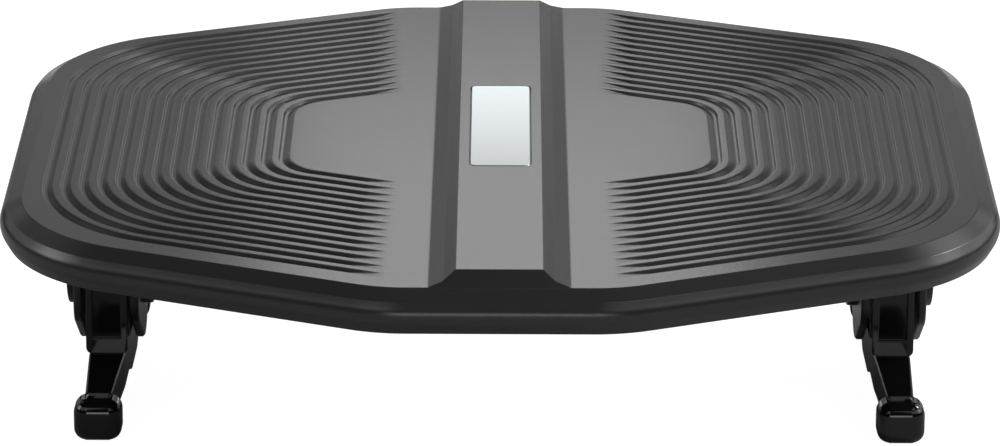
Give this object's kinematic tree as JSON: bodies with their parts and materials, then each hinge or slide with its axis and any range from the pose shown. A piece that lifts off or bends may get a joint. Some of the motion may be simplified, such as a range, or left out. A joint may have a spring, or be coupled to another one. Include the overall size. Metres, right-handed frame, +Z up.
{
  "type": "tilting under desk footrest",
  "caption": "Under desk footrest: broad grooved deck with a raised middle rib and plain plate, tilting on two low legs with blunt-toed skids.",
  "frame": {"origin": "on the floor, under the middle of the whole rest as it stands in the picture", "axes": "+X to the user's right along the tilt axis, +Y away from the user, +Z up"},
  "size_m": [0.4464, 0.3876, 0.1382],
  "materials": {
    "deck": "fine grain satin black",
    "badge": "silver, satin",
    "tape": "adhesive tape",
    "bracket": "black, semi gloss",
    "caps": "black, semi gloss",
    "legs": "piano black",
    "steel": "zinc plated",
    "washer": "natural acetal",
    "rubber": "matt"
  },
  "bodies": {
    "left_leg": {"upright_left": "legs", "bushing_left": "washer", "skid_left": "legs", "skid_screws_left": "steel", "foot_pads_left": "rubber"},
    "deck": {"deck_tray": "deck", "badge_plate": "badge", "badge_tape": "tape", "bracket_left": "bracket", "bracket_screws_left": "steel", "pivot_cap_left": "caps", "pivot_bolt_left": "steel", "pivot_nut_left": "steel", "nut_cap_left": "caps", "friction_washers_left": "washer", "stop_pin_left": "steel", "bracket_right": "bracket", "bracket_screws_right": "steel", "pivot_cap_right": "caps", "pivot_bolt_right": "steel", "pivot_nut_right": "steel", "nut_cap_right": "caps", "friction_washers_right": "washer", "stop_pin_right": "steel"},
    "right_leg": {"upright_right": "legs", "bushing_right": "washer", "skid_right": "legs", "skid_screws_right": "steel", "foot_pads_right": "rubber"}
  },
  "joints": [
    {"name": "deck_tilt", "type": "hinge", "parent": "left_leg", "child": "deck", "pos_m": [-0.1802, 0.00411, 0.059], "axis": [1, 0, 0], "range_deg": [-10, 15]},
    {"name": "right_leg_level", "type": "hinge", "parent": "deck", "child": "right_leg", "pos_m": [0.1802, 0.00411, 0.059], "axis": [1, 0, 0], "range_deg": [-15, 10]}
  ],
  "couplings": [
    {"joint": "right_leg_level", "follows": "deck_tilt", "ratio": -1}
  ]
}
